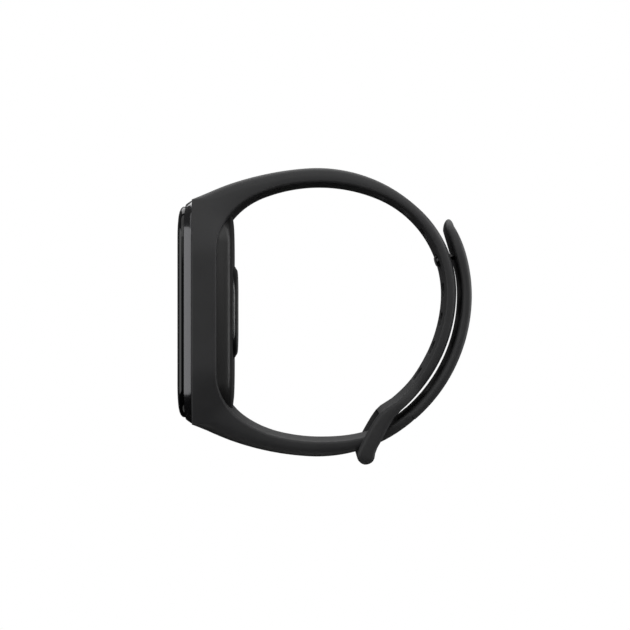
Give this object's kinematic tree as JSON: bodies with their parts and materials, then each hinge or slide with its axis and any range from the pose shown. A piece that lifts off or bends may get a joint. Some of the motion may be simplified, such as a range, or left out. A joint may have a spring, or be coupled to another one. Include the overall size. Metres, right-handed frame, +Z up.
{
  "type": "fitness tracker band",
  "caption": "Fitness tracker band: silicone strap closed in a loop with keeper and stud clasp, and a snap-in capsule with curved glass and a rear heart sensor.",
  "frame": {"origin": "centre of the wrist opening, on the strap's middle plane", "axes": "+Z up with the closed loop standing on edge in the XZ plane, +X from the screen towards the wrist and the clasp, Y along the strap's width"},
  "size_m": [0.0605, 0.0216, 0.0603],
  "materials": {
    "silicone_black": "fine matte",
    "stud_black": "polished",
    "bezel_black": "glossy coating",
    "cover_glass": "polished, black printed",
    "panel_black": "smooth",
    "flex_amber": "satin film",
    "foam_black": "soft matte",
    "shell_black": "satin",
    "window_black": "polished",
    "board_green": "solder resist",
    "led_green": "clear",
    "chip_black": "moulded",
    "can_steel": "tinned",
    "antenna_ceramic": "plain",
    "cell_foil": "foil",
    "contact_gold": "gold plated",
    "weight_tungsten": "sintered"
  },
  "bodies": {
    "strap": {"strap": "silicone_black"},
    "tail": {"tail": "silicone_black", "clasp_stud": "stud_black", "clasp_cap": "silicone_black"},
    "capsule": {"bezel": "bezel_black", "cover_glass": "cover_glass", "touch_film": "panel_black", "display_panel": "panel_black", "display_flex": "flex_amber", "panel_gasket": "foam_black", "rear_shell": "shell_black", "sensor_window": "window_black", "sensor_board": "board_green", "led_upper": "led_green", "led_lower": "led_green", "photodiode": "chip_black", "main_board": "board_green", "shield_can": "can_steel", "processor": "chip_black", "flash_chip": "chip_black", "antenna": "antenna_ceramic", "battery": "cell_foil", "battery_pad": "foam_black", "battery_tab": "contact_gold", "charge_contact_left": "contact_gold", "charge_contact_right": "contact_gold", "motor_cradle": "foam_black", "motor_can": "can_steel"},
    "motor_rotor": {"motor_shaft": "can_steel", "motor_weight": "weight_tungsten"}
  },
  "joints": [
    {"name": "clasp_peel", "type": "hinge", "parent": "strap", "child": "tail", "pos_m": [0.02524, 0, -0.00182], "axis": [0, 1, 0], "range_deg": [0, 55]},
    {"name": "capsule_release", "type": "slide", "parent": "strap", "child": "capsule", "axis": [-1, 0, 0], "range_m": [0, 0.016]},
    {"name": "rotor_spin", "type": "hinge", "parent": "capsule", "child": "motor_rotor", "pos_m": [-0.02675, 0, -0.0172], "axis": [0, 1, 0], "continuous": true}
  ]
}
